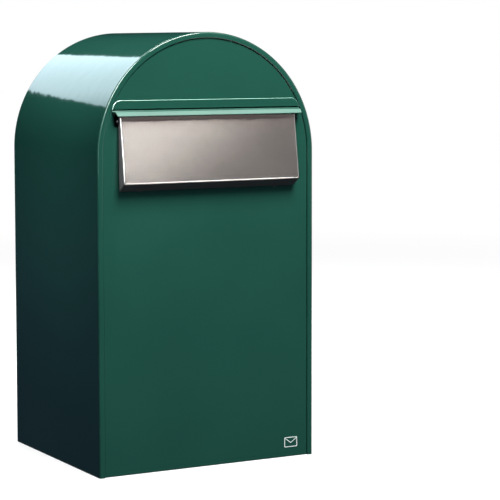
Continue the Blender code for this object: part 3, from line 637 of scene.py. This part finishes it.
def make_rear_panel(materials):
    """The rear face, an arch with a doorway that is open at the foot."""
    low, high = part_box("door")
    doorway_low = (low.x - DOORWAY_SIDE_GAP, REAR_Y - 0.03, -0.01)
    doorway_high = (high.x + DOORWAY_SIDE_GAP, REAR_Y + 0.01, high.z + DOORWAY_TOP_GAP)
    panel = pan(arch_outline, REAR_FACE_Y, PANEL_RETURN, -1, PANEL_BEND)
    bm = cut(panel, box(doorway_low, doorway_high))
    add_piece("rear_sheet", bm, "cabinet", materials["green_paint"], ["rear_panel"])


# Flap


def flap_section():
    """The flap's outside in Y and Z: top edge, nose, heel, then up the cheek and round the rod."""
    low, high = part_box("flap")
    axis = (FLAP_AXIS.y, FLAP_AXIS.z)
    top, nose, heel = (FRONT_Y - FLAP_TOP_OUT, high.z), (low.y, FLAP_NOSE_Z), (FRONT_Y - FLAP_HEEL_OUT, low.z)
    cheek = (FRONT_Y - FLAP_CHEEK_OUT, axis[1] - 0.012)
    return [top, nose, heel, cheek, *arc(axis, FLAP_EAR_RADIUS, -60, 90, 10)]


def flap_hollow(top, nose, heel):
    """The space behind the flap's face and over its base, run out past the top and the rear."""
    face, base = (nose - top).normalized(), (heel - nose).normalized()
    corner = offset_path([top, nose, heel], FLAP_SHEET)[1]
    far = 0.03
    first = top + Vector((-face.y, face.x)) * FLAP_SHEET - face * far
    last = heel + Vector((-base.y, base.x)) * FLAP_SHEET + base * far
    return [first, corner, last, (FRONT_Y + far, top.y + far)]


def flap_seams(nose, heel, width):
    """A cutter for the open seam at each end of the base."""
    along = (heel - nose).normalized()
    across = Vector((-along.y, along.x))
    start = nose + along * FLAP_SEAM_START - across * 0.002
    run, rise = along * FLAP_SEAM_LENGTH, across * 0.004
    slit = [start, start + run, start + run + rise, start + rise]
    outer = width - 0.0012
    inner = outer - FLAP_SEAM_WIDTH
    return [prism(slit, -outer, -inner), prism(slit, inner, outer)]


def make_flap(materials):
    """A tray of brushed stainless steel: face, base and two cheeks, with open seams beside the base."""
    outside = flap_section()
    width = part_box("flap")[1].x
    top, nose, heel = (Vector(point) for point in outside[:3])

    def is_fold(edge):
        """The face's three folded edges and both ends of the base."""
        one, two = (vert.co for vert in edge.verts)
        middle = (one + two) / 2
        if abs(one.x - two.x) > width:
            return abs(middle.z - nose.y) < 1e-4
        on_face = abs(one.z - two.z) > 0.09 and middle.y < FRONT_Y - 0.005
        on_base = abs(middle.z - (nose.y + heel.y) / 2) < 0.001
        return on_face or on_base

    outer = prism(outside, -width, width)
    folds = [edge for edge in outer.edges if is_fold(edge)]
    bmesh.ops.bevel(outer, geom=folds, offset=FLAP_FOLD, segments=6, profile=0.5, affect="EDGES")
    inner = prism(flap_hollow(top, nose, heel), FLAP_SHEET - width, width - FLAP_SHEET)
    folds = [edge for edge in inner.edges if all(vert.co.y < FRONT_Y - 0.003 for vert in edge.verts)]
    inner_fold = FLAP_FOLD - FLAP_SHEET
    bmesh.ops.bevel(inner, geom=folds, offset=inner_fold, segments=5, profile=0.5, affect="EDGES")
    rod_hole = rod(FLAP_AXIS, (1, 0, 0), FLAP_ROD_HOLE_RADIUS, -width - 0.01, width + 0.01, 32)
    bm = cut(outer, inner, rod_hole, *flap_seams(nose, heel, width))
    flap = add_piece("flap_sheet", bm, "flap", materials["stainless"], ["flap"], edge=0.00018)
    add_brush_direction(flap)


def add_brush_direction(obj):
    """A UV map whose first axis runs across the brush marks."""
    layer = obj.data.uv_layers.new(name="across_brush")
    for polygon in obj.data.polygons:
        for loop in polygon.loop_indices:
            x, y, z = obj.data.vertices[obj.data.loops[loop].vertex_index].co
            layer.data[loop].uv = (z - y, x + y) if abs(polygon.normal.x) < 0.7 else (z, y)


# Door and lock


def door_outline(inset=0.0):
    low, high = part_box("door")
    x0, x1 = low.x + inset, high.x - inset
    z0, z1 = low.z + inset, high.z - inset
    return [(x0, z0), (x0, z1), (x1, z1), (x1, z0)]


def make_door(materials):
    """A pan with a hole for the lock and holes in its sides for the hinge's bushes."""
    low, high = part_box("door")
    depth = high.y - low.y
    lock_hole = rod(LOCK_AXIS, (0, 1, 0), LOCK_HOLE_RADIUS, -0.02, 0.02)
    pin_hole = rod(DOOR_AXIS, (1, 0, 0), PIN_HOLE_RADIUS, -0.2, 0.2, 32)
    bm = cut(pan(door_outline, high.y, depth, -1, PANEL_BEND), lock_hole, pin_hole)
    add_piece("door_sheet", bm, "door", materials["green_paint"], ["door"])


def along_lock(node):
    """The node's rear and front ends, measured from the lock's axis point."""
    low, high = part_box(node)
    return low.y - LOCK_AXIS.y, high.y - LOCK_AXIS.y


def make_lock_rosette(materials):
    """The chrome ring between the door and the lock's head."""
    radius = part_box("lock_rosette")[1].x
    seat = along_lock("lock_rosette")[1]
    section = [
        (ROSETTE_BORE_RADIUS, GAP),
        (radius, GAP),
        (radius, ROSETTE_RIM),
        (radius - 0.0011, seat),
        (ROSETTE_BORE_RADIUS, seat),
    ]
    ring = turned(rounded_polygon(section, 0.0002, 3), LOCK_AXIS, (0, 1, 0), closed=True)
    chrome = materials["chrome"]
    add_piece("lock_rosette_ring", ring, "door", chrome, ["lock_rosette"], edge=0.0001)


def make_lock_case(materials):
    """The threaded barrel and its round head, bored through for the plug."""
    back, front = along_lock("lock_body")
    seat = along_lock("lock_rosette")[1]
    head_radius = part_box("lock_body")[1].x
    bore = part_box("lock_plug")[1].x + GAP
    root = BARREL_RADIUS - BARREL_THREAD_DEPTH
    pitch = BARREL_THREAD_PITCH
    thread = []
    for i in range(int((-0.002 - back) / pitch)):
        thread += [(root, back + pitch * (i + 0.25)), (BARREL_RADIUS, back + pitch * (i + 0.75))]
    head = [
        (BARREL_RADIUS, seat + GAP),
        (head_radius, seat + GAP),
        *arc((head_radius - HEAD_ROUND, front - HEAD_ROUND), HEAD_ROUND, 0, 90, 8),
        (bore + 0.0011, front),
        (bore + 0.0004, front - 0.0007),
        (bore, front - 0.0016),
    ]
    case = turned([(bore, back), (root, back), *thread, *head], LOCK_AXIS, (0, 1, 0), closed=True)
    add_piece("lock_case", case, "door", materials["chrome"], ["lock_body"], edge=0.0001)


def keyway_outline():
    """The keyway about the lock's axis, in X and Z."""
    slot = [(-0.0010, -0.0045), (0.0010, -0.0045), (0.0010, -0.0018), (0.0004, -0.0012), (0.0004, 0.0002)]
    slot += [(0.0010, 0.0008), (0.0010, 0.0030), (0.0005, 0.0036), (-0.0005, 0.0036), (-0.0010, 0.0030)]
    slot += [(-0.0010, 0.0016), (-0.0005, 0.0011), (-0.0005, -0.0022), (-0.0010, -0.0028)]
    return [(LOCK_AXIS.x + u, LOCK_AXIS.z + v) for u, v in slot]


def make_lock_plug(materials):
    """The plug that the key turns, with a square tang behind for the cam and a bore for its screw."""
    outward = (0, 1, 0)
    tang_end, front = along_lock("lock_plug")
    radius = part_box("lock_plug")[1].x
    profile = [
        (0, PLUG_BACK),
        (radius - 0.0013, PLUG_BACK),
        (radius, PLUG_BACK + 0.0014),
        (radius, front - 0.0012),
        (radius - 0.0006, front - 0.0005),
        (radius - 0.0018, front - 0.0009),
        (0, front - 0.0007),
    ]
    half = TANG_HALF_WIDTH
    x, y, z = LOCK_AXIS
    tang = box((x - half, y + tang_end, z - half), (x + half, y - 0.015, z + half))
    keyway = prism(keyway_outline(), y + 0.002, y + 0.012, "Y")
    bore = rod(LOCK_AXIS, outward, SCREW_BORE_RADIUS, -0.025, -0.012, 24)
    bm = cut(cut(turned(profile, LOCK_AXIS, outward), tang, operation="UNION"), keyway, bore)
    metal = materials["keyway"]
    add_piece("lock_plug_face", bm, "lock_cylinder", metal, ["lock_plug"], edge=0.0001)


# Print


def mark_rectangle(inset, radius):
    """The envelope's outline in X and Z, drawn in by inset."""
    x0, x1 = MARK_X - MARK_HALF_WIDTH + inset, MARK_X + MARK_HALF_WIDTH - inset
    z0, z1 = MARK_Z - MARK_HALF_HEIGHT + inset, MARK_Z + MARK_HALF_HEIGHT - inset
    return rounded_polygon([(x0, z0), (x1, z0), (x1, z1), (x0, z1)], radius, 4)


def make_mark(materials):
    """A small printed envelope at the foot of the front panel."""
    back, front = FRONT_FACE_Y, FRONT_FACE_Y - MARK_THICKNESS
    outer = prism(mark_rectangle(0.0, 0.0016), front, back, "Y")
    inner = prism(mark_rectangle(MARK_STROKE, 0.0008), front - 0.001, back + 0.001, "Y")
    across, top = MARK_HALF_WIDTH - 0.0006, MARK_Z + MARK_HALF_HEIGHT - 0.0012
    fold = [Vector(p) for p in ((MARK_X - across, top), (MARK_X, MARK_Z - 0.0012), (MARK_X + across, top))]
    half = MARK_STROKE / 2
    fold_line = prism([*offset_path(fold, half), *reversed(offset_path(fold, -half))], front, back, "Y")
    bm = cut(cut(outer, inner), fold_line, operation="UNION")
    add_piece("envelope_print", bm, "cabinet", materials["white_ink"], edge=0.00002)


# Nodes that keep their shape


def dress_nodes(materials):
    """Gives each carried-over node its material and softened edges."""
    slots = {row["node"]: row["material_slot"] for row in frame["record"]["subparts"]}
    # The flap's brackets and rod caps get black oxide: a painted shade, so that they read as the dark under the
    # hood
    shade_black_nodes = ("flap_bracket", "rod_cap")
    for name, obj in frame["nodes"].items():
        finish = "black_oxide" if name.startswith(shade_black_nodes) else slots[name]
        obj.data.materials.clear()
        obj.data.materials.append(materials[finish])
        if not obj.hide_render:
            soften_edges(obj, EDGE_ROUND if slots[name] == "green_paint" else 0.0002)


# Studio


def emitter(name, centre, towards, width, height, strength, colour, ramp=None, along="X"):
    """A card that only reflections see, and only from its front.

    ramp gives the (place, share) of its glow at two places along its width, X, or its height, Y.
    """
    bm = bmesh.new()
    bmesh.ops.create_grid(bm, x_segments=1, y_segments=1, size=0.5)
    card = object_of(name, bm)
    card.scale = (width, height, 1)
    card.location = centre
    card.rotation_euler = (Vector(towards) - Vector(centre)).to_track_quat("-Z", "Y").to_euler()
    material, tree, _ = new_material(name)
    glow = add(tree, "Emission", {"Color": rgba(*colour), "Strength": strength})
    if ramp:
        across = add(tree, "SeparateXYZ", {0: add(tree, "TexCoord").outputs["Generated"]}).outputs[along]
        (start, dim), (stop, full) = ramp
        share = add(
            tree,
            "MapRange",
            {"Value": across, "From Min": start, "From Max": stop, "To Min": dim, "To Max": full},
            interpolation_type="SMOOTHSTEP",
        ).outputs["Result"]
        tree.links.new(math_node(tree, "MULTIPLY", share, strength), glow.inputs["Strength"])
    front = add(tree, "NewGeometry").outputs["Backfacing"]
    clear = add(tree, "BsdfTransparent")
    both = add(tree, "MixShader", {0: front, 1: clear.outputs[0], 2: glow.outputs[0]})
    tree.links.new(both.outputs[0], tree.nodes["Material Output"].inputs["Surface"])
    card.data.materials.append(material)
    for flag in ("visible_camera", "visible_shadow", "visible_diffuse"):
        setattr(card, flag, False)


def make_floor():
    """A pale floor that runs out to the white of the backdrop."""
    bm = bmesh.new()
    bmesh.ops.create_circle(bm, cap_ends=True, segments=128, radius=25.0)
    floor = object_of("studio_floor", bm)
    floor.location.z = -0.0005
    material, tree, shader = new_material("studio_floor")
    where = add(tree, "TexCoord").outputs["Object"]
    distance = add(tree, "VectorMath", {0: where}, operation="LENGTH").outputs["Value"]
    glow = remap(tree, distance, 0.8, 4.0, 0.80, 1.0)
    grey = remap(tree, distance, 0.8, 4.0, 0.30, 0.02)
    tone = add(tree, "CombineColor", {0: grey, 1: grey, 2: grey}).outputs[0]
    tree.links.new(tone, shader.inputs["Base Color"])
    shader.inputs["Roughness"].default_value = 0.9
    shader.inputs["Specular IOR Level"].default_value = 0.0
    shader.inputs["Emission Color"].default_value = rgba(1, 1, 1)
    tree.links.new(glow, shader.inputs["Emission Strength"])
    floor.data.materials.append(material)
    floor.visible_glossy = False
    floor.visible_diffuse = False


def make_backdrop():
    """A white dome that only the camera sees."""
    bm = bmesh.new()
    bmesh.ops.create_uvsphere(bm, u_segments=48, v_segments=24, radius=30.0)
    dome = object_of("studio_backdrop", bm)
    material, tree, _ = new_material("studio_backdrop")
    glow = add(tree, "Emission", {"Color": rgba(1, 1, 1), "Strength": 1.0})
    tree.links.new(glow.outputs[0], tree.nodes["Material Output"].inputs["Surface"])
    dome.data.materials.append(material)
    for flag in ("visible_diffuse", "visible_glossy", "visible_transmission", "visible_shadow"):
        setattr(dome, flag, False)


def make_world():
    """A dim blue room, brightest just below the horizon."""
    world = bpy.data.worlds.new("studio")
    world.use_nodes = True
    tree = world.node_tree
    direction = add(tree, "TexCoord").outputs["Generated"]
    height = add(tree, "SeparateXYZ", {0: direction}).outputs["Z"]
    background = tree.nodes["Background"]
    background.inputs["Color"].default_value = rgba(0.36, 0.64, 1.0)
    near_horizon = remap(tree, height, -0.11, -0.03, 0.11, 0.02)
    strength = math_node(tree, "MULTIPLY", near_horizon, remap(tree, height, -0.6, -0.3, 0.1, 1.0))
    tree.links.new(strength, background.inputs["Strength"])
    bpy.context.scene.world = world


def lamp(name, centre, towards, width, height, watts, colour, spread=180):
    """A soft lamp that lights surfaces but isn't mirrored in them. spread is its beam's angle in degrees."""
    data = bpy.data.lights.new(name, "AREA")
    data.spread = math.radians(spread)
    data.shape = "RECTANGLE"
    data.size, data.size_y = width, height
    data.energy = watts
    data.color = colour
    obj = bpy.data.objects.new(name, data)
    obj.location = centre
    obj.rotation_euler = (Vector(towards) - Vector(centre)).to_track_quat("-Z", "Y").to_euler()
    obj.visible_glossy = False
    bpy.context.scene.collection.objects.link(obj)


def make_lamps():
    """The light that falls on the box. The numbers are width, height and watts."""
    front, left_shoulder, rear = (0.0, -0.17, 0.45), (-0.19, 0.0, 0.62), (0.0, 0.17, 0.4)
    lamp("key", (0.08, -1.30, 2.10), front, 0.8, 0.95, 115.0, (1.0, 1.0, 0.98))
    lamp("front_fill", (-0.9, -1.9, 0.9), front, 1.2, 1.0, 11.0, (0.85, 0.90, 1.0))
    lamp("left_fill", (-0.62, -0.05, 0.95), left_shoulder, 0.4, 0.5, 0.8, (0.85, 0.95, 1.0), spread=56)
    lamp("rear_fill", (0.70, 1.60, 1.75), rear, 1.2, 1.0, 85.0, (0.95, 1.0, 1.0))


def make_cards():
    """The bright shapes that the box mirrors. The numbers are width, height and strength."""
    pale_green, warm = (0.92, 1.0, 0.98), (1.0, 0.94, 0.89)
    # The broad band on the left shoulder
    centre, towards = (-0.67, 3.0, 2.33), (-0.67, 0.0, 2.33)
    emitter("shoulder_softbox", centre, towards, 1.86, 1.5, 4.2, (0.72, 0.90, 1.0), ((1.0, 0.42), (0.6, 1.0)))
    # The flap's sheen, which falls off to the right
    centre, towards = (1.6, -1.86, 2.99), (1.6, -0.18, 0.5)
    emitter("front_softbox", centre, towards, 3.6, 0.85, 43.0, warm, ((0.385, 1.0), (0.415, 0.06)))
    # The dimmer right half of the flap
    emitter("low_card", (1.12, -2.2, 0.98), (0.0, -0.18, 0.52), 1.2, 0.5, 0.30, (1.0, 0.80, 0.76))
    # The hood's lip, and the left end of the flap
    emitter("top_softbox", (0.40, -0.55, 2.55), (0.4, -0.55, 0.0), 2.0, 1.0, 6.8, (0.78, 1.0, 0.92))
    emitter("top_strip", (0.15, -1.0, 2.55), (0.0, -0.17, 0.69), 1.0, 0.5, 50.0, pale_green)
    # The bright line along the arch
    centre, towards = (-1.772, -2.138, 1.908), (0.0, -0.17, 0.5)
    emitter("arch_strip", centre, towards, 0.8, 3.75, 60.0, pale_green, ((0.2, 0.08), (0.65, 1.0)), "Y")
    # The right edge of the flap
    emitter("right_card", (1.83, -1.875, 0.75), towards, 0.8, 1.2, 2.5, (0.85, 1.0, 1.0))
    # Behind the box: a dim wall, and the glint on the lock
    emitter("rear_card", (0.42, 2.6, 0.40), (0.42, 0.17, 0.40), 2.9, 0.76, 0.28, (0.6, 1.0, 0.9))
    emitter("rear_softbox", (0.0, 1.9, 2.2), (0.0, 0.17, 0.5), 1.2, 0.5, 14.0, pale_green)
    # The fold under the flap
    emitter("bounce_card", (0.11, -0.375, 0.312), (0.11, -0.455, 0.62), 0.36, 0.155, 6.0, (1.0, 0.97, 0.94))


def make_camera():
    """The photo's view, from the front left and a little above."""
    yaw, pitch, roll = math.radians(28.96), math.radians(4.49), math.radians(-0.1)
    data = bpy.data.cameras.new("camera")
    data.sensor_width = 36.0
    data.lens = 142.2
    data.shift_x = -0.0008
    data.shift_y = -0.0992
    data.clip_end = 100.0
    camera = bpy.data.objects.new("camera", data)
    camera.location = (-1.4567, -2.9399, 0.6737)
    looking = Euler((math.pi / 2 - pitch, 0.0, -yaw)).to_matrix()
    camera.rotation_euler = (looking @ Matrix.Rotation(roll, 3, "Z")).to_euler()
    bpy.context.scene.collection.objects.link(camera)
    bpy.context.scene.camera = camera


make_camera()
looks = make_materials()
make_shell(looks)
make_front_panel(looks)
make_rain_hood(looks)
make_rear_panel(looks)
make_flap(looks)
make_door(looks)
make_lock_rosette(looks)
make_lock_case(looks)
make_lock_plug(looks)
make_mark(looks)
dress_nodes(looks)
make_world()
make_lamps()
make_cards()
make_floor()
make_backdrop()
bpy.context.scene.view_settings.view_transform = "Standard"
